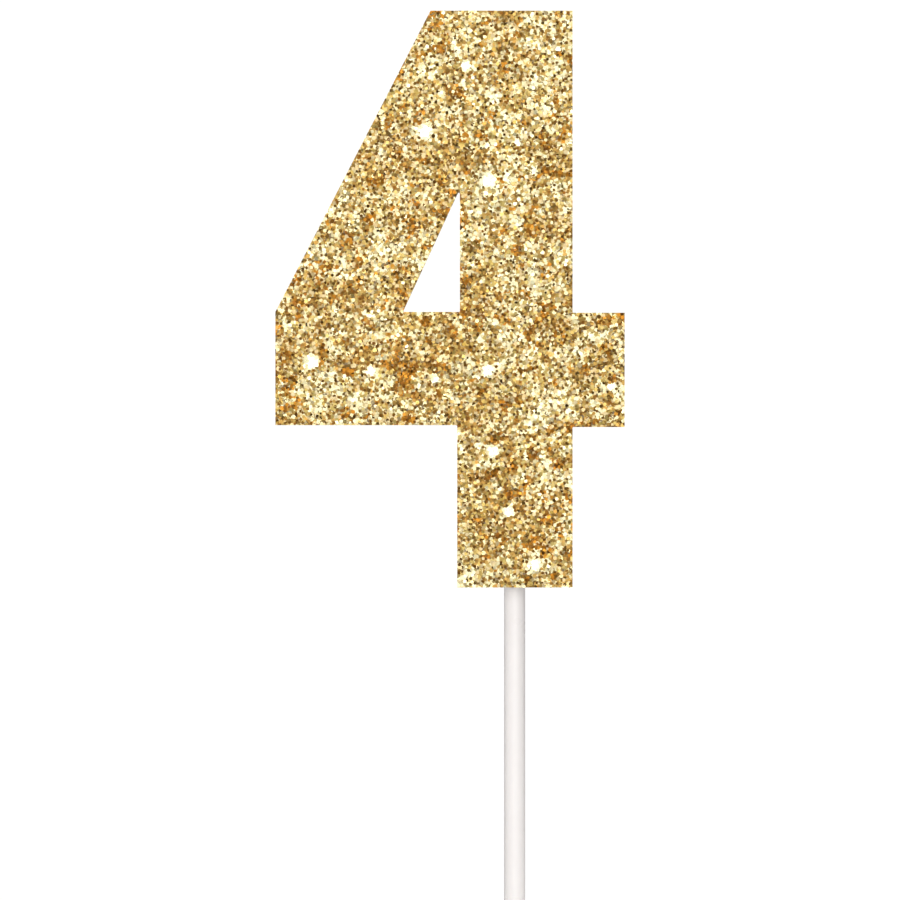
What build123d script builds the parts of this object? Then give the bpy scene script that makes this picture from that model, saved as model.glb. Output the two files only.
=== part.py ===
"""Number cake topper: a die-cut glitter numeral four bonded to a round hollow stick.

Millimetres. The origin is the centre of the stick's lower end and +Z runs up the stick.
+X is to the right of someone facing the glitter, which looks towards -Y.
"""

import os
from math import acos, atan2, cos, hypot, pi, sin, sqrt

from build123d import *

# ---- numeral outline; heights are above the numeral's foot ----
numeral_height = 108.0
numeral_width = 65.4
stem_width = 21.6
arm_reach = 9.75  # how far the short right arm stands out of the stem
arm_height = 21.4
bar_bottom = 30.4  # underside of the long left bar
arm_drop = 0.35  # the right arm is cut this much lower than the bar
top_edge_width = 26.6
shoulder_height = 51.6  # where the slanted side meets the left end
counter_bottom = 51.6
counter_width = 10.7
counter_height = 23.1
counter_inset = 0.5  # the counter's upright side stands this far inside the stem's line
die_corner_radius = 0.2

# ---- thickness of each flat layer, back to front ----
liner_thickness = 0.15
board_thickness = 1.2
film_thickness = 0.1
card_thickness = 0.35
binder_thickness = 0.1
coat_thickness = 0.45

# ---- stick ----
stick_diameter = 4.0
stick_wall = 0.7
free_length = 80.0  # from the lower end to the numeral's foot
bonded_length = 70.0
press_depth = 0.5  # how much thinner, front to back, the bonded stretch is pressed
press_run_out = 4.0  # length over which the round tube turns into the pressed one

# ---- foam tape between liner and stick ----
tape_width = 5.0
tape_thickness = 0.8
tape_bed = 0.3  # how deep the stick sinks into the tape
tape_end_gap = 4.0  # from the foot to the tape, and from the tape to the stick's end

# ---- hot-melt beads beside the stick ----
bead_radius = 1.3
bead_lift = 0.7  # bead centre, above the liner
bead_bite = 0.25  # how far the bead's round runs into the stick and is cut away
bead_end_gap = 4.6  # from a strap's edge to the bead's end

# ---- straps over the stick ----
strap_thickness = 0.2
strap_height = 11.0
strap_side_gap = 0.8  # from the strap's ends to the counter's line, the same on both sides
strap_foot_gap = 3.4  # from the stick's side to where the strap meets the liner
strap_end_gap = 5.0  # from the foot to the lower strap, from the upper one to the stick's end

# ---- sizes that follow ----
stem_half = stem_width / 2
arm_end = stem_half + arm_reach
bar_end = arm_end - numeral_width
arm_bottom = bar_bottom - arm_drop
counter_right = counter_inset - stem_half
stick_length = free_length + bonded_length
pressed_thickness = stick_diameter - press_depth
pressed_radius = pressed_thickness / 2
# Pressing keeps the tube's girth, so the width grows as the thickness shrinks.
pressed_width = pressed_thickness + pi * press_depth / 2
pressed_centre = (pressed_width - pressed_thickness) / 2
liner_back = pressed_radius + tape_thickness - tape_bed  # distance from the stick's axis
tape_length = bonded_length - 2 * tape_end_gap
strap_span = 2 * (stem_half - counter_inset - strap_side_gap)
lower_strap_bottom = free_length + strap_end_gap
upper_strap_bottom = stick_length - strap_end_gap - strap_height
bead_bottom = lower_strap_bottom + strap_height + bead_end_gap
bead_top = upper_strap_bottom - bead_end_gap
bead_y = bead_lift - liner_back
bead_x = pressed_centre + sqrt((pressed_radius + bead_radius - bead_bite) ** 2 - bead_y**2)

LAYERS = [
    ("back_liner", liner_thickness),
    ("stiffener_board", board_thickness),
    ("laminating_film", film_thickness),
    ("face_card", card_thickness),
    ("glitter_binder", binder_thickness),
    ("glitter_coat", coat_thickness),
]


def finish(builder, name):
    """Label a finished piece and write its STEP file."""
    builder.part.label = name
    export_step(builder.part, f"parts/{name}.step")


def numeral_section():
    """The figure four with its triangular counter, its foot at height zero."""
    with BuildSketch() as section:
        with BuildLine():
            Polyline(
                (-stem_half, 0),
                (stem_half, 0),
                (stem_half, arm_bottom),
                (arm_end, arm_bottom),
                (arm_end, arm_bottom + arm_height),
                (stem_half, arm_bottom + arm_height),
                (stem_half, numeral_height),
                (stem_half - top_edge_width, numeral_height),
                (bar_end, shoulder_height),
                (bar_end, bar_bottom),
                (-stem_half, bar_bottom),
                close=True,
            )
        make_face()
        with BuildLine():
            Polyline(
                (counter_right - counter_width, counter_bottom),
                (counter_right, counter_bottom),
                (counter_right, counter_bottom + counter_height),
                close=True,
            )
        make_face(mode=Mode.SUBTRACT)
        fillet(section.vertices(), die_corner_radius)
    return section.sketch


def make_layer(name, section, back, thickness):
    """One flat layer of the numeral, built from its back towards the viewer's side."""
    back_plane = Plane((0, -back, free_length), x_dir=(1, 0, 0), z_dir=(0, -1, 0))
    with BuildPart() as layer:
        with BuildSketch(back_plane):
            add(section)
        extrude(amount=thickness)
    finish(layer, name)


def tube_section(height, width, thickness):
    """Tube section at a height: a circle, or a pressed circle with two flats."""
    with BuildSketch(Plane.XY.offset(height)) as section:
        if width > thickness:
            SlotOverall(width, thickness)
        else:
            Circle(width / 2)
    return section.sketch


def add_tube(inset, mode):
    """The stick's outer body into the open part, or its hollow when inset by the wall."""
    round_size = stick_diameter - 2 * inset
    flat_width = pressed_width - 2 * inset
    flat_thickness = pressed_thickness - 2 * inset
    pressed_start = free_length + press_run_out
    foot = tube_section(0, round_size, round_size)
    round_end = tube_section(free_length, round_size, round_size)
    flat_end = tube_section(pressed_start, flat_width, flat_thickness)
    extrude(foot, amount=free_length, mode=mode)
    loft([round_end, flat_end], mode=mode)
    extrude(flat_end, amount=bonded_length - press_run_out, mode=mode)


def make_stick():
    """Hollow stick: round and free below the numeral, pressed where it is bonded."""
    with BuildPart() as stick:
        add_tube(0, Mode.ADD)
        add_tube(stick_wall, Mode.SUBTRACT)
    finish(stick, "stick")


def stick_envelope():
    """The pressed stretch as a plain solid, for bedding other pieces against it."""
    with BuildPart() as envelope:
        with BuildSketch(Plane.XY.offset(free_length)):
            SlotOverall(pressed_width, pressed_thickness)
        extrude(amount=bonded_length)
    return envelope.part


def tape_block():
    """The foam tape before the stick is pressed into it."""
    with BuildPart() as block:
        with BuildSketch(Plane.XY.offset(free_length + tape_end_gap)):
            with Locations((0, tape_thickness / 2 - liner_back)):
                Rectangle(tape_width, tape_thickness)
        extrude(amount=tape_length)
    return block.part


def make_mounting_tape():
    """Foam tape strip with the groove that the stick has pressed into it."""
    with BuildPart() as tape:
        add(tape_block())
        add(stick_envelope(), mode=Mode.SUBTRACT)
    finish(tape, "mounting_tape")


def make_glue_bead(name, side):
    """Round-ended bead on the liner, filling the corner beside the stick."""
    ends = (bead_bottom + bead_radius, bead_top - bead_radius)
    with BuildPart() as bead:
        with BuildSketch(Plane.XY.offset(ends[0])):
            with Locations((side * bead_x, bead_y)):
                Circle(bead_radius)
        extrude(amount=ends[1] - ends[0])
        for end in ends:
            with Locations((side * bead_x, bead_y, end)):
                Sphere(bead_radius)
        split(bisect_by=Plane((0, -liner_back, 0), z_dir=(0, 1, 0)), keep=Keep.TOP)
        add(stick_envelope(), mode=Mode.SUBTRACT)
        add(tape_block(), mode=Mode.SUBTRACT)
    finish(bead, name)


def tent_section(lift):
    """Region under a strap: the pressed stick grown by lift, with sides down to the liner."""
    radius = pressed_radius + lift
    foot_x = pressed_width / 2 + strap_foot_gap + lift
    to_foot = (foot_x - pressed_centre, -liner_back)
    lean = atan2(to_foot[1], to_foot[0]) + acos(radius / hypot(*to_foot))
    touch_x = pressed_centre + radius * cos(lean)
    touch_y = radius * sin(lean)
    with BuildSketch() as tent:
        with BuildLine():
            Polyline(
                (-foot_x, -liner_back),
                (foot_x, -liner_back),
                (touch_x, touch_y),
                (-touch_x, touch_y),
                close=True,
            )
        make_face()
        SlotOverall(pressed_width + 2 * lift, pressed_thickness + 2 * lift)
    return tent.sketch


def make_strap(name, bottom):
    """Card strap: a wing glued to the liner each side and a tent over the stick."""
    outside = tent_section(strap_thickness)
    inside = tent_section(0)
    with BuildPart() as strap:
        with BuildSketch(Plane.XY.offset(bottom)):
            add(outside)
            with Locations((0, strap_thickness / 2 - liner_back)):
                Rectangle(strap_span, strap_thickness)
            add(inside, mode=Mode.SUBTRACT)
        extrude(amount=strap_height)
    finish(strap, name)


os.makedirs("parts", exist_ok=True)

numeral = numeral_section()
layer_back = liner_back
for layer_name, layer_thickness in LAYERS:
    make_layer(layer_name, numeral, layer_back, layer_thickness)
    layer_back += layer_thickness

make_stick()
make_mounting_tape()
make_glue_bead("glue_bead_left", -1)
make_glue_bead("glue_bead_right", 1)
make_strap("lower_strap", lower_strap_bottom)
make_strap("upper_strap", upper_strap_bottom)
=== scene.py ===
"""Looks of the glitter number topper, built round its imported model.

Metres, in the model's own frame: +Z runs up the stick and the glitter faces -Y.
"""

from math import acos, atan2, ceil, cos, hypot, pi, radians, sin, sqrt

import bpy
import numpy as np
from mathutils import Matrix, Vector, noise


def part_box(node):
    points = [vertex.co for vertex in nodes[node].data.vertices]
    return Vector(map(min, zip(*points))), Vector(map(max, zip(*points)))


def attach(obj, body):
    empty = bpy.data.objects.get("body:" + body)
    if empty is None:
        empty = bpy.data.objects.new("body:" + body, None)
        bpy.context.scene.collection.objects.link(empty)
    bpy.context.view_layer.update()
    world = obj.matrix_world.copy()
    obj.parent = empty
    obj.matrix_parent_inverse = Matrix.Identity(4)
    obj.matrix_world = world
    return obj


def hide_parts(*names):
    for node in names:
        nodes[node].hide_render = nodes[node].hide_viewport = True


MM = 0.001

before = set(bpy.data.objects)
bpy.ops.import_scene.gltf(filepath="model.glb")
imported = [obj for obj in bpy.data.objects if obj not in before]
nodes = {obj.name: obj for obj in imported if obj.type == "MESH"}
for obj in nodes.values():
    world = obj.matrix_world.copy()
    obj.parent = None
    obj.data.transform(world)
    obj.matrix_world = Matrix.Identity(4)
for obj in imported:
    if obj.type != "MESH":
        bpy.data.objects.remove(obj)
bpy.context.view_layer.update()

# ---- glitter ----
FLAKE_RADIUS = 0.36 * MM
FLAKE_THICKNESS = 0.03 * MM
FLAKE_SPACING = 0.65 * MM
FLAKE_LAYERS = (0.09 * MM, 0.19 * MM, 0.29 * MM)  # heights of the flakes' middles over the binder
FLAKE_SCATTER = 0.31  # how far a flake strays from its even place, in spacings
LEAN_SPREAD = 9.0  # degrees
MOST_LEAN = 26.0
HEIGHT_SPREAD = 0.02 * MM
BINDER_BED = 0.08 * MM  # how deep a leaning flake's low edge may lie in the binder
LEAST_PART = 0.02  # a trimmed flake smaller than this share of a whole one falls off

# Tone runs from 0, dark, to 1, bright; warmth from 0, pale gold, to 1, orange.
BRONZE_BELOW = 0.24
GOLD_BELOW = 0.5
HONEY_BELOW = 0.66
CHAMPAGNE_BELOW = 0.82
AMBER_FROM = 0.7  # warmth
CLUMP_WAVES = 420.0  # per metre
SWEEP_WAVES = 120.0
PATCH_WAVES = 400.0
PATCH_FROM = 0.3  # how strong a warm patch is where it begins

DOT_SHARE = 0.95  # share of the places kept for dark flakes that get one
DOT_TONE = 0.18
DARK_BELOW = 0.2
DOT_SIZE = 0.82
DOT_LIFT = 0.04 * MM
# Glare places: flakes there lean towards the sparkle lamp, and their colour is also painted bright as a
# painted highlight.
GLARES = 12
GLARE_APART = 9.0 * MM
GLARE_RADIUS = 0.72 * MM
GLARE_LEAN = 8.6  # degrees; lies a flake in line with the sparkle lamp
GLARE_TOWARDS = -54.0

# ---- stick, straps and glue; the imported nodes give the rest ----
STICK_WALL = 0.7 * MM
LIP_RADIUS = 0.09 * MM
STRAP_THICKNESS = 0.2 * MM
STRAP_FOOT_GAP = 3.4 * MM  # from the stick's side to where a strap meets the liner
STRAP_CORNER = 0.9 * MM
STRAP_TILT = 0.0096  # rise of a strap per unit of its length
STRAP_STRAY = 0.1 * MM  # how far a tilted strap may pass its packed box
BEAD_RADIUS = 1.3 * MM
BEAD_LIFT = 0.7 * MM  # bead centre, above the liner

# ---- camera and studio ----
VIEW_WIDTH = 168.46 * MM
TOP_MARGIN = 1.98 * MM  # from the numeral's top to the frame's edge
LENS = 200.0
SENSOR = 36.0
FLOOR_RADIUS = 0.23
FLOOR_FADE = 0.12  # distance from the stick at which the floor begins to fade
SURROUND = 0.22  # strength of the surround at eye level
OVERHEAD = 1.0  # and straight up
BACKDROP = 1.05  # strength of the plain white behind the topper


# ---------------------------------------------------------------- shader helpers


class Tree:
    """A short way to add and join the nodes of a material or a group."""

    def __init__(self, tree):
        self.tree = tree

    def add(self, kind, **values):
        node = self.tree.nodes.new(kind)
        for name, value in values.items():
            if hasattr(node, name):
                setattr(node, name, value)
            else:
                node.inputs[name.replace("_", " ")].default_value = value
        return node

    def join(self, output, target):
        self.tree.links.new(output, target)

    def math(self, operation, a, b=None):
        node = self.add("ShaderNodeMath", operation=operation)
        for socket, value in zip(node.inputs, (a, b)):
            if isinstance(value, bpy.types.NodeSocket):
                self.join(value, socket)
            elif value is not None:
                socket.default_value = value
        return node.outputs[0]

    def remap(self, value, low, high, to_low, to_high):
        node = self.add("ShaderNodeMapRange")
        self.join(value, node.inputs["Value"])
        names = ("From Min", "From Max", "To Min", "To Max")
        for name, number in zip(names, (low, high, to_low, to_high)):
            if isinstance(number, bpy.types.NodeSocket):
                self.join(number, node.inputs[name])
            else:
                node.inputs[name].default_value = number
        return node.outputs["Result"]

    def blend(self, amount, first, second):
        node = self.add("ShaderNodeMix", data_type="RGBA", blend_type="MIX")
        sockets = (node.inputs[0], node.inputs[6], node.inputs[7])
        for socket, value in zip(sockets, (amount, first, second)):
            if isinstance(value, bpy.types.NodeSocket):
                self.join(value, socket)
            elif isinstance(value, tuple):
                socket.default_value = (*value, 1.0)
            else:
                socket.default_value = value
        return node.outputs[2]

    def noise(self, place, scale, detail=3.0, roughness=0.55):
        node = self.add("ShaderNodeTexNoise", Scale=scale, Detail=detail, Roughness=roughness)
        self.join(place, node.inputs["Vector"])
        return node.outputs["Fac"]

    def stretch(self, place, factors):
        node = self.add("ShaderNodeMapping", vector_type="POINT")
        node.inputs["Scale"].default_value = factors
        self.join(place, node.inputs["Vector"])
        return node.outputs["Vector"]

    def place(self):
        """Position on the piece, in metres."""
        return self.add("ShaderNodeTexCoord").outputs["Object"]


def make_group(name, inputs, outputs, fill):
    """A shader node group with named inputs and outputs."""
    tree = bpy.data.node_groups.new(name, "ShaderNodeTree")
    for label, kind, default in inputs:
        socket = tree.interface.new_socket(label, in_out="INPUT", socket_type=kind)
        socket.default_value = default
    for label, kind in outputs:
        tree.interface.new_socket(label, in_out="OUTPUT", socket_type=kind)
    t = Tree(tree)
    fill(t, t.add("NodeGroupInput").outputs, t.add("NodeGroupOutput").inputs)
    return tree


def use_group(t, group, **values):
    """Place a group in a material with that material's own values."""
    node = t.add("ShaderNodeGroup", node_tree=group)
    for name, value in values.items():
        socket = node.inputs[name.replace("_", " ")]
        if isinstance(value, bpy.types.NodeSocket):
            t.join(value, socket)
        elif isinstance(value, tuple):
            socket.default_value = (*value, 1.0)
        else:
            socket.default_value = value
    return node.outputs


def new_material(name, **fixed):
    """A material with a Principled shader; fixed values go straight to the shader's sockets."""
    material = bpy.data.materials.new(name)
    material.use_nodes = True
    t = Tree(material.node_tree)
    shader = material.node_tree.nodes["Principled BSDF"]
    for label, value in fixed.items():
        shader.inputs[label.replace("_", " ")].default_value = value
    return material, t, shader


def add_relief(t, shader, height, strength, distance):
    """Fine relief on a material's surface from a height."""
    bump = t.add("ShaderNodeBump", Strength=strength, Distance=distance)
    t.join(height, bump.inputs["Height"])
    t.join(bump.outputs["Normal"], shader.inputs["Normal"])


# ---------------------------------------------------------------- shared effects

COLOUR = "NodeSocketColor"
NUMBER = "NodeSocketFloat"


def fill_paper(t, given, result):
    """Paper and card: pressed fibres over a cloudy sheet."""
    place = t.place()
    cloud = t.noise(place, 260.0, 4.0)
    across = t.noise(t.stretch(place, (900.0, 900.0, 5200.0)), 1.0, 3.0, 0.6)
    along = t.noise(t.stretch(place, (5200.0, 900.0, 900.0)), 1.0, 3.0, 0.6)
    fibre = t.math("MAXIMUM", across, along)
    grain = t.noise(place, 9000.0, 2.0)
    mixed = t.math("ADD", t.math("MULTIPLY", fibre, 0.6), t.math("MULTIPLY", cloud, 0.4))
    shade = t.remap(mixed, 0.35, 0.75, 0.0, 1.0)
    t.join(t.blend(shade, given["Shadow"], given["Sheet"]), result["Color"])
    t.join(t.remap(fibre, 0.35, 0.75, given["Smooth"], given["Rough"]), result["Roughness"])
    height = t.math("ADD", t.math("MULTIPLY", fibre, 0.7), t.math("MULTIPLY", grain, 0.3))
    t.join(height, result["Height"])


def fill_mottle(t, given, result):
    """Cloudy change of shade and gloss, as in moulded, drawn or poured plastic."""
    place = t.place()
    node = t.add("ShaderNodeTexNoise", Detail=5.0, Roughness=0.6)
    t.join(place, node.inputs["Vector"])
    t.join(given["Scale"], node.inputs["Scale"])
    cloud = t.remap(node.outputs["Fac"], 0.3, 0.7, 0.0, 1.0)
    t.join(t.blend(cloud, given["Dark"], given["Light"]), result["Color"])
    t.join(t.remap(cloud, 0.0, 1.0, given["Smooth"], given["Rough"]), result["Roughness"])
    t.join(cloud, result["Cloud"])


def fill_flake(t, given, result):
    """One flake's foil: its own tone, its own polish and the slight cockle of thin film."""
    own = t.add("ShaderNodeAttribute", attribute_name="flake")
    split = t.add("ShaderNodeSeparateColor")
    t.join(own.outputs["Color"], split.inputs["Color"])
    tone, warmth, polish = split.outputs["Red"], split.outputs["Green"], split.outputs["Blue"]
    place = t.place()
    rub = t.noise(place, 5200.0, 3.0)
    lower = t.blend(t.remap(tone, 0.0, 0.5, 0.0, 1.0), given["Deep"], given["Body"])
    foil = t.blend(t.remap(tone, 0.5, 1.0, 0.0, 1.0), lower, given["Bright"])
    warmed = t.blend(t.math("MULTIPLY", warmth, 0.8), foil, given["Warm"])
    worn = t.blend(t.remap(rub, 0.45, 0.8, 0.0, 0.2), warmed, given["Deep"])
    t.join(worn, result["Color"])
    dullness = t.math("ADD", polish, t.math("MULTIPLY", rub, 0.3))
    t.join(t.remap(dullness, 0.0, 1.3, 0.16, 0.46), result["Roughness"])
    t.join(t.noise(place, 1300.0, 1.0), result["Height"])


paper_finish = make_group(
    "Paper fibres",
    [
        ("Sheet", COLOUR, (0.9, 0.9, 0.88, 1.0)),
        ("Shadow", COLOUR, (0.8, 0.8, 0.78, 1.0)),
        ("Smooth", NUMBER, 0.6),
        ("Rough", NUMBER, 0.85),
    ],
    [("Color", COLOUR), ("Roughness", NUMBER), ("Height", NUMBER)],
    fill_paper,
)
mottle_finish = make_group(
    "Cloudy plastic",
    [
        ("Light", COLOUR, (0.9, 0.9, 0.9, 1.0)),
        ("Dark", COLOUR, (0.8, 0.8, 0.8, 1.0)),
        ("Scale", NUMBER, 300.0),
        ("Smooth", NUMBER, 0.25),
        ("Rough", NUMBER, 0.45),
    ],
    [("Color", COLOUR), ("Roughness", NUMBER), ("Cloud", NUMBER)],
    fill_mottle,
)
flake_finish = make_group(
    "Flake foil",
    [
        ("Deep", COLOUR, (0.3, 0.2, 0.05, 1.0)),
        ("Body", COLOUR, (0.7, 0.5, 0.2, 1.0)),
        ("Bright", COLOUR, (0.95, 0.85, 0.5, 1.0)),
        ("Warm", COLOUR, (0.8, 0.35, 0.06, 1.0)),
    ],
    [("Color", COLOUR), ("Roughness", NUMBER), ("Height", NUMBER)],
    fill_flake,
)


# ---------------------------------------------------------------- materials


def glitter_foil(name, deep, body, bright, warm):
    """Metallised film of one colour family."""
    material, t, shader = new_material(name, Metallic=0.8)
    out = use_group(t, flake_finish, Deep=deep, Body=body, Bright=bright, Warm=warm)
    t.join(out["Color"], shader.inputs["Base Color"])
    t.join(out["Roughness"], shader.inputs["Roughness"])
    add_relief(t, shader, out["Height"], 0.35, 0.05 * MM)
    return material


def paper_sheet(name, sheet, shadow, relief=0.25):
    """Paper or card in its own colour, darker between the fibres."""
    material, t, shader = new_material(name)
    out = use_group(t, paper_finish, Sheet=sheet, Shadow=shadow, Smooth=0.6, Rough=0.85)
    t.join(out["Color"], shader.inputs["Base Color"])
    t.join(out["Roughness"], shader.inputs["Roughness"])
    add_relief(t, shader, out["Height"], relief, 0.03 * MM)
    return material


def amber_resin():
    """The binder that the flakes lie in: dried resin with drowned flake dust."""
    material, t, shader = new_material("amber_resin", Coat_Weight=0.4, Coat_Roughness=0.2)
    place = t.place()
    out = use_group(
        t,
        mottle_finish,
        Light=(0.36, 0.22, 0.06),
        Dark=(0.17, 0.09, 0.02),
        Scale=1500.0,
        Smooth=0.25,
        Rough=0.5,
    )
    dust = t.add("ShaderNodeTexVoronoi", Scale=3200.0)
    t.join(place, dust.inputs["Vector"])
    glint = t.remap(dust.outputs["Distance"], 0.1, 0.35, 1.0, 0.0)
    t.join(t.blend(glint, out["Color"], (0.62, 0.42, 0.14)), shader.inputs["Base Color"])
    t.join(out["Roughness"], shader.inputs["Roughness"])
    add_relief(t, shader, out["Cloud"], 0.5, 0.05 * MM)
    return material


def clear_film():
    """Laminating film: only its cut edge shows, with smears of its glue."""
    material, t, shader = new_material("clear_film", IOR=1.49)
    out = use_group(
        t,
        mottle_finish,
        Light=(0.86, 0.86, 0.82),
        Dark=(0.74, 0.73, 0.68),
        Scale=700.0,
        Smooth=0.12,
        Rough=0.35,
    )
    t.join(out["Color"], shader.inputs["Base Color"])
    t.join(out["Roughness"], shader.inputs["Roughness"])
    add_relief(t, shader, out["Cloud"], 0.2, 0.02 * MM)
    return material


def grey_board(back):
    """Recycled board: plies that show as bands on its cut edge, flecked with fibres."""
    material, t, shader = new_material("grey_board")
    place = t.place()
    out = use_group(
        t, paper_finish, Sheet=(0.66, 0.63, 0.58), Shadow=(0.5, 0.475, 0.43), Smooth=0.75, Rough=0.95
    )
    split = t.add("ShaderNodeSeparateXYZ")
    t.join(place, split.inputs["Vector"])
    wander = t.math("MULTIPLY", t.noise(place, 320.0, 3.0), 0.12 * MM)
    depth = t.math("SUBTRACT", t.math("ADD", split.outputs["Y"], wander), back)
    from_seam = t.math("PINGPONG", depth, 0.12 * MM)
    band = t.remap(from_seam, 0.0, 0.05 * MM, 0.75, 0.0)
    fleck = t.remap(t.noise(place, 3800.0, 2.0), 0.62, 0.72, 0.0, 0.6)
    plies = t.blend(band, out["Color"], (0.42, 0.395, 0.35))
    t.join(t.blend(fleck, plies, (0.34, 0.33, 0.33)), shader.inputs["Base Color"])
    t.join(out["Roughness"], shader.inputs["Roughness"])
    add_relief(t, shader, t.math("SUBTRACT", out["Height"], band), 0.5, 0.04 * MM)
    return material


def stick_plastic():
    """Extruded white plastic: faint draw lines along the stick and a few scuffs across it."""
    material, t, shader = new_material("stick_plastic", IOR=1.49, Subsurface_Weight=0.08)
    shader.inputs["Subsurface Radius"].default_value = (0.0012, 0.0011, 0.001)
    place = t.place()
    out = use_group(
        t,
        mottle_finish,
        Light=(0.94, 0.902, 0.88),
        Dark=(0.9, 0.858, 0.838),
        Scale=90.0,
        Smooth=0.26,
        Rough=0.36,
    )
    draw = t.noise(t.stretch(place, (5200.0, 5200.0, 26.0)), 1.0, 4.0, 0.65)
    scuff = t.remap(t.noise(t.stretch(place, (700.0, 700.0, 3800.0)), 1.0, 3.0), 0.66, 0.8, 0.0, 1.0)
    line = t.remap(draw, 0.3, 0.7, 0.0, 0.35)
    lined = t.blend(line, out["Color"], (0.885, 0.845, 0.823))
    t.join(lined, shader.inputs["Base Color"])
    scuffed = t.math("ADD", out["Roughness"], t.math("MULTIPLY", scuff, 0.2))
    t.join(scuffed, shader.inputs["Roughness"])
    height = t.math("SUBTRACT", draw, t.math("MULTIPLY", scuff, 0.3))
    add_relief(t, shader, height, 0.12, 0.02 * MM)
    return material


def foam_tape():
    """White foam with open cells on its cut sides, with painted shade inside the cells."""
    material, t, shader = new_material("foam_tape")
    place = t.place()
    out = use_group(
        t,
        mottle_finish,
        Light=(0.86, 0.86, 0.83),
        Dark=(0.76, 0.76, 0.72),
        Scale=600.0,
        Smooth=0.7,
        Rough=0.95,
    )
    cells = t.add("ShaderNodeTexVoronoi", Scale=5600.0)
    t.join(place, cells.inputs["Vector"])
    pit = t.remap(cells.outputs["Distance"], 0.0, 0.35, 1.0, 0.0)
    # Painted shade: the colour is darkened inside each open cell.
    pit_shaded = t.blend(t.math("MULTIPLY", pit, 0.45), out["Color"], (0.55, 0.55, 0.52))
    t.join(pit_shaded, shader.inputs["Base Color"])
    t.join(out["Roughness"], shader.inputs["Roughness"])
    add_relief(t, shader, t.math("SUBTRACT", 1.0, pit), 0.6, 0.06 * MM)
    return material


def hot_melt():
    """Cooled hot-melt glue: milky, waxy, with small bubbles."""
    material, t, shader = new_material(
        "hot_melt", IOR=1.48, Subsurface_Weight=0.35, Coat_Weight=0.3, Coat_Roughness=0.15
    )
    shader.inputs["Subsurface Radius"].default_value = (0.0016, 0.0013, 0.0009)
    place = t.place()
    out = use_group(
        t,
        mottle_finish,
        Light=(0.9, 0.87, 0.78),
        Dark=(0.8, 0.755, 0.64),
        Scale=420.0,
        Smooth=0.18,
        Rough=0.4,
    )
    bubbles = t.add("ShaderNodeTexVoronoi", Scale=1500.0)
    t.join(place, bubbles.inputs["Vector"])
    bubble = t.remap(bubbles.outputs["Distance"], 0.08, 0.2, 1.0, 0.0)
    bubbly = t.blend(t.math("MULTIPLY", bubble, 0.5), out["Color"], (0.97, 0.96, 0.92))
    t.join(bubbly, shader.inputs["Base Color"])
    t.join(out["Roughness"], shader.inputs["Roughness"])
    height = t.math("ADD", out["Cloud"], t.math("MULTIPLY", bubble, 0.4))
    add_relief(t, shader, height, 0.25, 0.06 * MM)
    return material


# ---------------------------------------------------------------- mesh helpers


def make_piece(name, points, faces, material, smooth=True):
    """A mesh piece with its material, linked into the scene."""
    mesh = bpy.data.meshes.new(name)
    mesh.from_pydata([tuple(p) for p in points], [], faces)
    mesh.validate()
    mesh.materials.append(material)
    mesh.polygons.foreach_set("use_smooth", [smooth] * len(mesh.polygons))
    piece = bpy.data.objects.new(name, mesh)
    bpy.context.scene.collection.objects.link(piece)
    return piece


def ring_faces(rings, around, closed_along=False):
    """Quads between successive rings of the same number of points."""
    faces = []
    for r in range(rings if closed_along else rings - 1):
        a = r * around
        b = (r + 1) % rings * around
        for k in range(around):
            n = (k + 1) % around
            faces.append((a + k, a + n, b + n, b + k))
    return faces


def waver(x, y, z, scale, seed):
    """Smooth random value from -1 to 1 at a place; scale is in waves per metre."""
    return noise.noise(Vector((x * scale + seed, y * scale - seed, z * scale + 2 * seed)))


# ---------------------------------------------------------------- the die-cut outline


def cut_edges(node_name):
    """The straight cuts of a flat layer as loops of (start, end) pairs.

    They are seen from the front, and the layer is on their left.
    """
    mesh = nodes[node_name].data
    front = min(v.co.y for v in mesh.vertices)
    flat = 1e-6
    key = {}
    for v in mesh.vertices:
        if v.co.y < front + flat:
            key[v.index] = (round(v.co.x / flat), round(v.co.z / flat))
    directed = set()
    for face in mesh.polygons:
        if all(i in key for i in face.vertices):
            ring = [key[i] for i in face.vertices]
            for a, b in zip(ring, ring[1:] + ring[:1]):
                directed.add((a, b))
    following = {a: b for a, b in directed if (b, a) not in directed}
    loops = []
    while following:
        start = next(iter(sorted(following)))
        loop = [start]
        while loop[-1] in following:
            loop.append(following.pop(loop[-1]))
        loops.append([Vector(p) * flat for p in loop[:-1]])
    return [straight_cuts(loop) for loop in loops]


def straight_cuts(loop):
    """A loop's long sides, each carried on to the next, so that the small corner rounds drop out."""
    long_side = 1.0 * MM
    sides = [(a, b) for a, b in zip(loop, loop[1:] + loop[:1]) if (b - a).length > long_side]
    corners = []
    for (a, b), (c, d) in zip(sides, sides[1:] + sides[:1]):
        u, v = b - a, d - c
        corners.append(a + u * ((c - a).cross(v) / u.cross(v)))
    return list(zip(corners[-1:] + corners[:-1], corners))


def inside_outline(x, z, loops):
    """Whether a place is on the numeral: a line from it crosses the cuts an odd number of times."""
    crossings = 0
    for loop in loops:
        for a, b in loop:
            if (a.y > z) != (b.y > z) and x < a.x + (z - a.y) / (b.y - a.y) * (b.x - a.x):
                crossings += 1
    return crossings % 2 == 1


def side_of(edge, point):
    """Distance from a point to a cut's line, positive on its left."""
    a, b = edge
    return (b - a).cross(point - a) / (b - a).length


def clip(polygon, edge, keep_left=True):
    """The part of a convex polygon on one side of a cut."""
    sign = 1 if keep_left else -1
    kept = []
    for p, q in zip(polygon, polygon[1:] + polygon[:1]):
        dp, dq = sign * side_of(edge, p), sign * side_of(edge, q)
        if dp >= 0:
            kept.append(p)
        if dp * dq < 0:
            kept.append(p.lerp(q, dp / (dp - dq)))
    return kept if len(kept) > 2 else []


def reach(edge, point):
    """Distance from a point to a cut."""
    a, b = edge
    share = max(0.0, min(1.0, (point - a).dot(b - a) / (b - a).length_squared))
    return (point - a.lerp(b, share)).length


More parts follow.
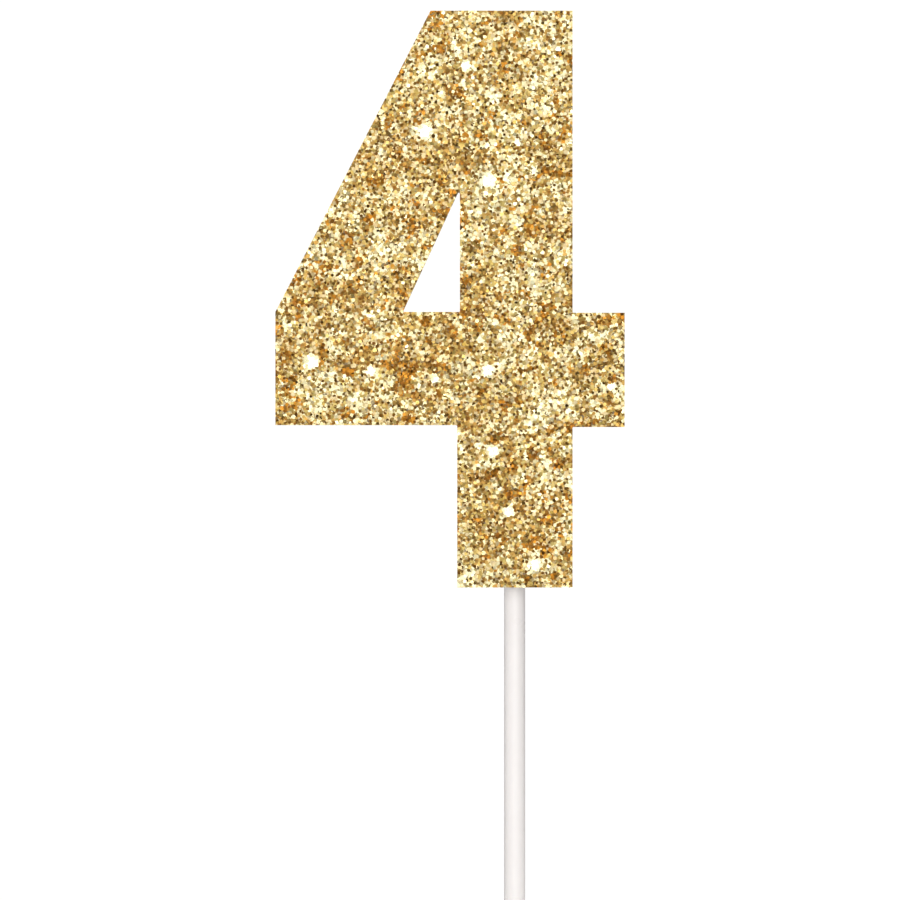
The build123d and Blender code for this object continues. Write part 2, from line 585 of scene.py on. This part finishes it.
def trim_to_outline(polygon, centre, radius, loops):
    """The convex parts of a flake that are left when the numeral is cut out."""
    near = []
    for loop in loops:
        close = [k for k, edge in enumerate(loop) if reach(edge, centre) < radius]
        if len(close) == 2 and close[1] - close[0] > 1:
            close.reverse()
        near += [loop[k] for k in close]
    if not near:
        return [polygon] if inside_outline(centre.x, centre.y, loops) else []
    if len(near) == 1:
        parts = [clip(polygon, near[0])]
    else:
        first, second = near[0], near[1]
        turn = (first[1] - first[0]).cross(second[1] - second[0])
        if turn > 0:
            parts = [clip(clip(polygon, first), second)]
        else:
            parts = [clip(polygon, first), clip(clip(polygon, first, False), second)]
    return [p for p in parts if p and area_of(p) > LEAST_PART * area_of(polygon)]


def area_of(polygon):
    return abs(sum(p.cross(q) for p, q in zip(polygon, polygon[1:] + polygon[:1]))) / 2


# ---------------------------------------------------------------- glitter


def scatter(low, high, spacing, random):
    """Evenly strewn points: a turned honeycomb over a rectangle, each point shaken off its place.

    One point in each block of four is marked, so that the marked ones stand mostly apart.
    """
    count = ceil((high - low).length / spacing)
    column, row = np.meshgrid(np.arange(-count, count), np.arange(-count, count))
    grid = np.stack([(column + row % 2 / 2) * spacing, row * spacing * sqrt(3) / 2], -1).reshape(-1, 2)
    turn = random.random() * pi
    grid = grid @ np.array([[cos(turn), sin(turn)], [-sin(turn), cos(turn)]])
    grid += np.array((low + high) / 2) + random.normal(0, FLAKE_SCATTER * spacing, grid.shape)
    chosen = random.integers(0, 4, (2 * count, 2 * count))
    apart = (column % 2 + 2 * (row % 2) == chosen[row // 2, column // 2]).ravel()
    inside = np.all((grid > np.array(low)) & (grid < np.array(high)), axis=1)
    return [(x, z, bool(mark)) for (x, z), mark in zip(grid[inside].tolist(), apart[inside])]


# Each foil's deep, body, bright and warm colour.
FOILS = {
    "bronze": (
        (0.07, 0.035, 0.003),
        (0.35, 0.22, 0.05),
        (0.58, 0.42, 0.17),
        (0.25, 0.087, 0.005),
    ),
    "gold": (
        (0.125, 0.056, 0.004),
        (0.444, 0.29, 0.082),
        (0.79, 0.666, 0.338),
        (0.48, 0.21, 0.02),
    ),
    "honey": (
        (0.125, 0.063, 0.004),
        (0.434, 0.318, 0.087),
        (0.81, 0.675, 0.328),
        (0.53, 0.29, 0.03),
    ),
    "amber": (
        (0.145, 0.053, 0.002),
        (0.405, 0.193, 0.02),
        (0.714, 0.425, 0.068),
        (0.434, 0.164, 0.01),
    ),
    "champagne": (
        (0.193, 0.116, 0.02),
        (0.463, 0.328, 0.125),
        (0.868, 0.762, 0.473),
        (0.695, 0.434, 0.154),
    ),
    "cream": (
        (0.193, 0.116, 0.02),
        (0.482, 0.367, 0.125),
        (0.888, 0.83, 0.531),
        (0.675, 0.482, 0.145),
    ),
}


def family_of(tone, warmth):
    """The foil that a flake of this look is cut from."""
    if tone < BRONZE_BELOW:
        return "bronze"
    if warmth > AMBER_FROM:
        return "amber"
    if tone < GOLD_BELOW:
        return "gold"
    if tone < HONEY_BELOW:
        return "honey"
    if tone < CHAMPAGNE_BELOW:
        return "champagne"
    return "cream"


def clamp(value):
    return min(1.0, max(0.0, value))


def glare_places(low, high, loops, random):
    """Places where the flakes lie in line with the sparkle lamp and get a painted highlight in their
    colour, and how far each place reaches.
    """
    places = []
    while len(places) < GLARES:
        x, z = random.uniform(low.x, high.x), random.uniform(low.y, high.y)
        clear = all(hypot(x - other[0], z - other[1]) > GLARE_APART for other in places)
        if clear and inside_outline(x, z, loops):
            places.append((x, z, GLARE_RADIUS * random.uniform(0.5, 1.35)))
    return places


def flake_look(x, z, dot, glare, random):
    """Tone, warmth and polish of a flake: dark ones stand apart, warm ones lie in the darker clumps, and
    near a glare place the tone is raised as a painted highlight.
    """
    clump = 1.1 * waver(x, 0, z, CLUMP_WAVES, 3.1) + 0.85 * waver(x, 0, z, SWEEP_WAVES, 8.7)
    patch = waver(x, 0, z, PATCH_WAVES, 17.3)
    tone = 0.27 + 0.73 * random.beta(1.1, 1.1) + 0.25 * clump
    warmth = 0.04 + 0.56 * random.beta(1.2, 3.0) - 0.3 * clump
    if patch > PATCH_FROM and random.random() < 0.7:
        warmth += random.uniform(0.3, 0.9)
        tone -= 0.2
    if dot and random.random() < DOT_SHARE - 0.6 * clump:
        tone = DOT_TONE * random.random()
        warmth += 0.5 * random.random()
    # Painted highlight: near a glare place the flake's own colour is pushed to bright cream; its lean
    # towards the sparkle lamp is the real part of the glare.
    if glare > 0:
        tone = max(tone, 0.75) + glare
        warmth = 0.1
    return clamp(tone), clamp(warmth), random.random() * (1 - glare)


def flake_corners(centre, radius, turn):
    """A whole flake's hexagon, flat, round its centre."""
    return [centre + Vector((cos(turn + k * pi / 3), sin(turn + k * pi / 3))) * radius for k in range(6)]


def strew_flakes():
    """Every flake of the glitter coat as (family, corner points, look), trimmed to the numeral."""
    random = np.random.default_rng(4)
    loops = cut_edges("glitter_coat")
    coat_low, coat_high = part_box("glitter_coat")
    coat_depth = coat_high.y - coat_low.y
    low = Vector((coat_low.x, coat_low.z)) - Vector((FLAKE_RADIUS, FLAKE_RADIUS))
    high = Vector((coat_high.x, coat_high.z)) + Vector((FLAKE_RADIUS, FLAKE_RADIUS))
    glares = glare_places(low, high, loops, random)
    flakes = []
    for height in FLAKE_LAYERS:
        top = height == FLAKE_LAYERS[-1]
        for x, z, apart in scatter(low, high, FLAKE_SPACING, random):
            glare = max(clamp(1.6 - hypot(x - gx, z - gz) / reach_out) for gx, gz, reach_out in glares)
            tone, warmth, polish = flake_look(x, z, top and apart, glare, random)
            dark = tone < DARK_BELOW
            radius = FLAKE_RADIUS * (1 + 0.1 * random.normal()) * (DOT_SIZE if dark else 1.0)
            turn = random.random() * pi / 3
            lean = min(hypot(*random.normal(0, LEAN_SPREAD, 2)), MOST_LEAN) * (1.4 - 0.9 * tone)
            towards = random.random() * 2 * pi
            if glare > 0.2 + 0.7 * random.random():
                lean = random.normal(GLARE_LEAN, 1.2)
                towards = radians(random.normal(GLARE_TOWARDS, 8.0))
            centre = Vector((x, z))
            whole = flake_corners(centre, radius, turn)
            slope = np.tan(radians(lean))
            rise = max(height + random.normal(0, HEIGHT_SPREAD), radius * slope - BINDER_BED)
            rise += DOT_LIFT if dark else 0.0
            rise = min(rise, coat_depth - FLAKE_THICKNESS - radius * slope)
            for part in trim_to_outline(whole, centre, radius, loops):
                lifted = []
                for p in part:
                    away = p - centre
                    up = rise + slope * (away.x * cos(towards) + away.y * sin(towards))
                    lifted.append((p.x, coat_high.y - up, p.y))
                flakes.append((family_of(tone, warmth), lifted, (tone, warmth, polish)))
    return flakes


def flake_piece(name, flakes, material):
    """All flakes of one family: thin closed plates, each with a cell of its own on the piece's map."""
    points, faces, looks, cells = [], [], [], []
    across = ceil(sqrt(len(flakes)))
    for number, (corners, look) in enumerate(flakes):
        n, base = len(corners), len(points)
        points += corners
        points += [(x, y + FLAKE_THICKNESS, z) for x, y, z in corners]
        looks += [look] * (2 * n)
        middle = ((number % across + 0.5) / across, (number // across + 0.5) / across)
        inner = flat_cell(corners, middle, 0.3 / across)
        outer = flat_cell(corners, middle, 0.42 / across)
        faces.append(tuple(base + n + k for k in reversed(range(n))))
        cells += [inner[k] for k in reversed(range(n))]
        for k in range(n):
            m = (k + 1) % n
            faces.append((base + k, base + n + k, base + n + m, base + m))
            cells += [inner[k], outer[k], outer[m], inner[m]]
        faces.append(tuple(base + k for k in range(n)))
        cells += [inner[k] for k in range(n)]
    mesh = bpy.data.meshes.new(name)
    mesh.from_pydata(points, [], faces)
    uv = mesh.uv_layers.new(name="OFBake")
    uv.data.foreach_set("uv", np.array(cells, np.float32).ravel())
    own = mesh.attributes.new("flake", "FLOAT_COLOR", "POINT")
    own.data.foreach_set("color", np.array([(*look, 1.0) for look in looks], np.float32).ravel())
    mesh.materials.append(material)
    piece = bpy.data.objects.new(name, mesh)
    bpy.context.scene.collection.objects.link(piece)
    return piece


def flat_cell(corners, middle, reach_out):
    """A flake's corners laid flat round the middle of its cell."""
    x0 = sum(c[0] for c in corners) / len(corners)
    z0 = sum(c[2] for c in corners) / len(corners)
    size = max(hypot(c[0] - x0, c[2] - z0) for c in corners)
    return [
        (middle[0] + (c[0] - x0) / size * reach_out, middle[1] + (c[2] - z0) / size * reach_out)
        for c in corners
    ]


def make_glitter():
    """The glitter coat's flakes, one piece for each foil."""
    sorted_flakes = {family: [] for family in FOILS}
    for family, corners, look in strew_flakes():
        sorted_flakes[family].append((corners, look))
    for family, colours in FOILS.items():
        foil = glitter_foil(f"{family}_foil", *colours)
        piece = flake_piece(f"{family}_flakes", sorted_flakes[family], foil)
        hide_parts("glitter_coat")
        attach(piece, "root")


# ---------------------------------------------------------------- stick


def stick_sizes():
    """Round radius, pressed half width and pressed radius."""
    low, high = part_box("stick")
    round_radius = -low.y
    half_width = high.x
    # Pressing keeps the girth: width = thickness + pi / 2 * (diameter - thickness).
    pressed_radius = (half_width - pi / 2 * round_radius) / (1 - pi / 2)
    return round_radius, half_width, pressed_radius


ROUND_RADIUS, PRESSED_HALF_WIDTH, PRESSED_RADIUS = stick_sizes()
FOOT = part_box("face_card")[0].z
PRESSED_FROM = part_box("mounting_tape")[0].z
FLAT_HALF_WIDTH = PRESSED_HALF_WIDTH - PRESSED_RADIUS


def stick_point(angle, radius, flat, pressed):
    """Point of the stick's section: a circle whose two halves move apart by flat."""
    shift = flat * pressed * (1 if cos(angle) > 0 else -1) * min(1.0, abs(cos(angle)) * 8)
    return radius * cos(angle) + shift, radius * sin(angle)


def make_stick():
    """Hollow stick: up its outside, round the upper lip, down its bore and round the lower lip."""
    low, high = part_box("stick")
    around = 96
    step = 1.5 * MM
    lip = [radians(a) for a in (0, 22.5, 45, 67.5, 90)]
    heights = []
    z = low.z + LIP_RADIUS + step
    while z < high.z - LIP_RADIUS:
        heights.append(z)
        z += step

    def lip_rings(end, way, wall):
        """Height and inset of each of a lip's rings, on the outside or on the bore's wall."""
        rings = []
        for a in lip:
            inset = LIP_RADIUS * (1 - cos(a))
            rings.append((end + way * LIP_RADIUS * (1 - sin(a)), STICK_WALL - inset if wall else inset))
        return rings

    rings = list(reversed(lip_rings(low.z, 1, False)))
    rings += [(z, 0.0) for z in heights]
    rings += lip_rings(high.z, -1, False)
    rings += list(reversed(lip_rings(high.z, -1, True)))
    rings += [(z, STICK_WALL) for z in reversed(heights)]
    rings += lip_rings(low.z, 1, True)
    points = []
    for z, inset in rings:
        share = clamp((z - FOOT) / (PRESSED_FROM - FOOT))
        pressed = share * share * (3 - 2 * share)
        radius = ROUND_RADIUS + (PRESSED_RADIUS - ROUND_RADIUS) * pressed - inset
        for k in range(around):
            x, y = stick_point(2 * pi * k / around, radius, FLAT_HALF_WIDTH, pressed)
            points.append((x, y, z))
    faces = ring_faces(len(rings), around, closed_along=True)
    piece = make_piece("hollow_stick", points, faces, stick_plastic())
    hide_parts("stick")
    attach(piece, "root")


# ---------------------------------------------------------------- tape, glue and straps


def clear_of_stick(x, y):
    """The nearest place to (x, y) that is outside the pressed stick's section."""
    centre = max(-FLAT_HALF_WIDTH, min(FLAT_HALF_WIDTH, x))
    away = Vector((x - centre, y))
    if away.length >= PRESSED_RADIUS:
        return x, y
    away = away.normalized() * PRESSED_RADIUS
    return centre + away.x, away.y


def make_mounting_tape():
    """Foam strip with its stick groove; the cut sides bulge a little where it is squeezed."""
    low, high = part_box("mounting_tape")
    half = high.x
    rows = 64
    top = [half - 2 * half * k / 28 for k in range(29)]
    section = [(-half, low.y), (-half / 3, low.y), (half / 3, low.y), (half, low.y)]
    section += [(half, low.y + (high.y - low.y) * share) for share in (0.25, 0.5, 0.75)]
    section += [(x, None) for x in top]
    section += [(-half, low.y + (high.y - low.y) * share) for share in (0.75, 0.5, 0.25)]
    points = []
    for row in range(rows + 1):
        z = low.z + (high.z - low.z) * row / rows
        for x, y in section:
            if y is None:
                beyond = min(PRESSED_RADIUS, max(0.0, abs(x) - FLAT_HALF_WIDTH))
                groove = -sqrt(PRESSED_RADIUS**2 - beyond**2)
                y = min(high.y, groove)
            if abs(x) > half - 0.01 * MM:
                x += 0.07 * MM * waver(x, y, z, 900.0, 5.0) * (1 if x > 0 else -1)
            ragged = 0.04 * MM * waver(x, y, z, 1300.0, 9.0) if row in (0, rows) else 0.0
            points.append((x, y, z + ragged))
    around = len(section)
    faces = ring_faces(rows + 1, around)
    faces.append(tuple(range(around)))
    faces.append(tuple(rows * around + k for k in reversed(range(around))))
    faces = [tuple(reversed(f)) for f in faces]
    piece = make_piece("foam_strip", points, faces, foam_tape(), smooth=False)
    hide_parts("mounting_tape")
    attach(piece, "root")


def make_glue_bead(node_name, side, material):
    """Lumpy bead, flat on the liner, moulded to the stick, drawn out to a tail at the top."""
    low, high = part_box(node_name)
    liner = low.y
    reach_out = max(abs(low.x), abs(high.x))
    middle = (reach_out - BEAD_RADIUS) * side
    rings, around = 110, 40
    points = []
    for r in range(rings + 1):
        share = r / rings
        z = low.z + (high.z - low.z) * share
        from_end = min(share, 1 - share) * (high.z - low.z)
        dome = sqrt(max(0.0, 1 - (1 - min(1.0, from_end / BEAD_RADIUS)) ** 2))
        if share > 0.5:
            dome *= min(1.0, 0.35 + from_end / (3.2 * BEAD_RADIUS))
        swell = 1 + 0.1 * waver(0, 0, z, 210.0, 11.0 * side) + 0.05 * waver(0, 0, z, 700.0, 4.0 * side)
        sway = 0.18 * MM * waver(0, 0, z, 130.0, 7.0 * side)
        for k in range(around):
            angle = 2 * pi * k / around
            lump = waver(cos(angle) * MM, sin(angle) * MM, z, 900.0, 2.0)
            own = BEAD_RADIUS * dome * swell * (1 + 0.03 * lump)
            x = middle + sway + own * cos(angle)
            y = liner + BEAD_LIFT * (0.4 + 0.6 * dome) + own * sin(angle)
            x, y = clear_of_stick(x, max(y, liner))
            points.append((x, max(y, liner), z))
    faces = ring_faces(rings + 1, around)
    faces.append(tuple(reversed(range(around))))
    faces.append(tuple(rings * around + k for k in range(around)))
    piece = make_piece(f"{node_name}_melt", points, faces, material)
    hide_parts(node_name)
    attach(piece, "root")


def strap_path(low, high):
    """Inner line of a strap from its left end to its right: wing, bend, side, round the stick and back."""
    liner = low.y
    foot_x = PRESSED_HALF_WIDTH + STRAP_FOOT_GAP
    to_foot = (foot_x - FLAT_HALF_WIDTH, liner)
    lean = atan2(to_foot[1], to_foot[0]) + acos(PRESSED_RADIUS / hypot(*to_foot))
    touch = (FLAT_HALF_WIDTH + PRESSED_RADIUS * cos(lean), PRESSED_RADIUS * sin(lean))
    right = []
    steps = 14
    for k in range(steps):
        right.append((high.x + (foot_x - high.x) * k / steps, liner))
    for k in range(steps):
        share = k / steps
        right.append((foot_x + (touch[0] - foot_x) * share, liner + (touch[1] - liner) * share))
    for k in range(18):
        angle = lean + (pi / 2 - lean) * k / 17
        right.append((FLAT_HALF_WIDTH + PRESSED_RADIUS * cos(angle), PRESSED_RADIUS * sin(angle)))
    line = [(-x, y) for x, y in right] + [right[k] for k in reversed(range(len(right)))]
    return [Vector(p) for p in line]


def soften(line, rounds):
    """Even out the bends of a line without moving its ends."""
    for _ in range(rounds):
        eased = [(a + 2 * b + c) / 4 for a, b, c in zip(line, line[1:], line[2:])]
        line = [line[0]] + eased + [line[-1]]
    return line


def make_strap(node_name, seed, tilt, material):
    """Card strap pressed down over the stick, its corners rounded and its ends a little lifted."""
    low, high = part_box(node_name)
    line = soften(strap_path(low, high), 3)
    half_height, middle = (high.z - low.z) / 2, (high.z + low.z) / 2
    columns, rows = len(line), 22
    half_span = high.x
    inner, outer = [], []
    for c, p in enumerate(line):
        before, after = line[max(0, c - 1)], line[min(columns - 1, c + 1)]
        along = (after - before).normalized()
        out = Vector((-along.y, along.x))
        from_end = half_span - abs(p.x)
        past_round = max(0.0, STRAP_CORNER - from_end)
        cut = STRAP_CORNER - sqrt(max(0.0, STRAP_CORNER**2 - past_round**2))
        for r in range(rows + 1):
            v = (2 * r / rows - 1) * (half_height - cut)
            blister = 0.05 * MM * max(0.0, waver(p.x, p.y, v, 300.0, seed))
            curl = 0.1 * MM * max(0.0, 1 - from_end / (1.6 * MM)) ** 2
            at = p + out * (blister + curl)
            z = middle + v + p.x * tilt
            z = min(high.z + STRAP_STRAY, max(low.z - STRAP_STRAY, z))
            inner.append((at.x, at.y, z))
            far = at + out * STRAP_THICKNESS
            outer.append((far.x, far.y, z))
    points = inner + outer
    count = len(inner)
    width = rows + 1
    faces = []
    for c in range(columns - 1):
        for r in range(rows):
            a, b = c * width + r, (c + 1) * width + r
            faces.append((a, a + 1, b + 1, b))
            faces.append((count + a, count + b, count + b + 1, count + a + 1))
    rim = [c * width for c in range(columns)]
    rim += [(columns - 1) * width + r for r in range(1, width)]
    rim += [c * width + rows for c in reversed(range(columns - 1))]
    rim += [r for r in reversed(range(1, rows))]
    for a, b in zip(rim, rim[1:] + rim[:1]):
        faces.append((a, b, count + b, count + a))
    piece = make_piece(f"{node_name}_card", points, faces, material, smooth=False)
    edge = piece.modifiers.new("worn_edge", "BEVEL")
    edge.width = 0.04 * MM
    edge.segments = 2
    edge.angle_limit = radians(50)
    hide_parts(node_name)
    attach(piece, "root")


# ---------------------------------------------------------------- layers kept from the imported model


def dress(node_name, material):
    """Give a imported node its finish."""
    node = nodes[node_name]
    node.data.materials.clear()
    node.data.materials.append(material)


def dress_layers():
    """The numeral's layers below the glitter, front to back."""
    card = paper_sheet("face_card_stock", (0.8, 0.74, 0.58), (0.68, 0.61, 0.45))
    board = grey_board(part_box("stiffener_board")[1].y)
    liner = paper_sheet("liner_paper", (0.88, 0.878, 0.868), (0.76, 0.757, 0.745))
    dress("glitter_binder", amber_resin())
    dress("face_card", card)
    dress("laminating_film", clear_film())
    dress("stiffener_board", board)
    dress("back_liner", liner)


# ---------------------------------------------------------------- floor, light and camera


def floor_sheet():
    """Pale matt floor that fades out into the plain surround."""
    material, t, shader = new_material("floor_sheet", Roughness=0.8)
    place = t.place()
    grain = t.noise(place, 40.0, 2.0)
    t.join(t.blend(grain, (0.86, 0.86, 0.86), (0.9, 0.9, 0.9)), shader.inputs["Base Color"])
    distance = t.add("ShaderNodeVectorMath", operation="LENGTH")
    t.join(place, distance.inputs[0])
    fade = t.remap(distance.outputs["Value"], FLOOR_FADE, FLOOR_RADIUS, 1.0, 0.0)
    t.join(fade, shader.inputs["Alpha"])
    return material


def make_floor():
    """Round floor, flat at the lower end of the stick."""
    around, rings = 96, (0.0, 0.25, 0.5, 0.75, 1.0)
    points = [(0.0, 0.0, 0.0)]
    for ring in rings[1:]:
        for k in range(around):
            angle = 2 * pi * k / around
            points.append((FLOOR_RADIUS * ring * cos(angle), FLOOR_RADIUS * ring * sin(angle), 0.0))
    faces = [(0, 1 + k, 1 + (k + 1) % around) for k in range(around)]
    faces += [tuple(1 + i for i in reversed(face)) for face in ring_faces(len(rings) - 1, around)]
    floor = make_piece("floor", points, faces, floor_sheet())


def add_softbox(name, azimuth, elevation, distance, size, brightness):
    """A softbox aimed at the numeral; azimuth 0 is straight in front, positive to the right."""
    target = Vector((-12.0, 0.0, 120.0)) * MM
    a, e = radians(azimuth), radians(elevation)
    place = target + Vector((sin(a) * cos(e), -cos(a) * cos(e), sin(e))) * distance
    light = bpy.data.lights.new(name, "AREA")
    light.shape = "RECTANGLE"
    light.size, light.size_y = size
    light.energy = brightness * pi * size[0] * size[1]
    lamp = bpy.data.objects.new(name, light)
    lamp.location = place
    lamp.rotation_mode = "QUATERNION"
    lamp.rotation_quaternion = (target - place).to_track_quat("-Z", "Y")
    lamp.visible_camera = False
    bpy.context.scene.collection.objects.link(lamp)


def light_studio():
    """Soft boxes all round, and one small bright lamp for the glitter's glare."""
    add_softbox("key_softbox", -17, 18, 1.5, (0.72, 0.62), 3.0)
    add_softbox("fill_softbox", 20, 4, 1.5, (0.5, 0.7), 2.9)
    add_softbox("high_softbox", 5, 38, 1.5, (0.9, 0.4), 2.6)
    add_softbox("front_softbox", 1, -3, 1.5, (0.5, 0.46), 2.6)
    add_softbox("low_softbox", -17, -14, 1.5, (0.44, 0.36), 1.9)
    add_softbox("sparkle_lamp", -10, 14, 1.4, (0.1, 0.1), 14.0)
    add_softbox("bounce_card", -47, -23, 1.5, (0.9, 0.6), 1.7)
    add_softbox("back_softbox", 186, 24, 1.6, (1.0, 0.8), 4.2)


def light_world():
    """Grey surround that brightens overhead, plain white behind the topper."""
    world = bpy.data.worlds.new("studio")
    bpy.context.scene.world = world
    world.use_nodes = True
    t = Tree(world.node_tree)
    world.node_tree.nodes.clear()
    way = t.add("ShaderNodeSeparateXYZ")
    t.join(t.add("ShaderNodeTexCoord").outputs["Generated"], way.inputs["Vector"])
    surround = t.add("ShaderNodeBackground", Color=(1.0, 1.0, 1.0, 1.0))
    overhead = t.math("POWER", t.math("MAXIMUM", way.outputs["Z"], 0.0), 2.0)
    t.join(t.remap(overhead, 0.0, 1.0, SURROUND, OVERHEAD), surround.inputs["Strength"])
    plain = t.add("ShaderNodeBackground", Color=(1.0, 1.0, 1.0, 1.0), Strength=BACKDROP)
    mix = t.add("ShaderNodeMixShader")
    out = t.add("ShaderNodeOutputWorld")
    t.join(t.add("ShaderNodeLightPath").outputs["Is Camera Ray"], mix.inputs["Fac"])
    t.join(surround.outputs["Background"], mix.inputs[1])
    t.join(plain.outputs["Background"], mix.inputs[2])
    t.join(mix.outputs["Shader"], out.inputs["Surface"])


def make_camera():
    """Level camera straight in front, the numeral centred across the frame."""
    low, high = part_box("glitter_coat")
    data = bpy.data.cameras.new("camera")
    data.lens = LENS
    data.sensor_width = SENSOR
    data.clip_start, data.clip_end = 0.01, 100.0
    camera = bpy.data.objects.new("camera", data)
    distance = VIEW_WIDTH * LENS / SENSOR
    camera.location = ((low.x + high.x) / 2, low.y - distance, high.z + TOP_MARGIN - VIEW_WIDTH / 2)
    camera.rotation_euler = (pi / 2, 0.0, 0.0)
    bpy.context.scene.collection.objects.link(camera)
    bpy.context.scene.camera = camera


make_camera()
light_world()
light_studio()
make_floor()
make_stick()
make_mounting_tape()
melt = hot_melt()
make_glue_bead("glue_bead_left", -1, melt)
make_glue_bead("glue_bead_right", 1, melt)
strap_stock = paper_sheet("strap_stock", (0.95, 0.94, 0.905), (0.87, 0.86, 0.815), relief=0.35)
make_strap("lower_strap", 13.0, -STRAP_TILT, strap_stock)
make_strap("upper_strap", 27.0, STRAP_TILT, strap_stock)
dress_layers()
make_glitter()

bpy.context.scene.view_settings.view_transform = "Standard"
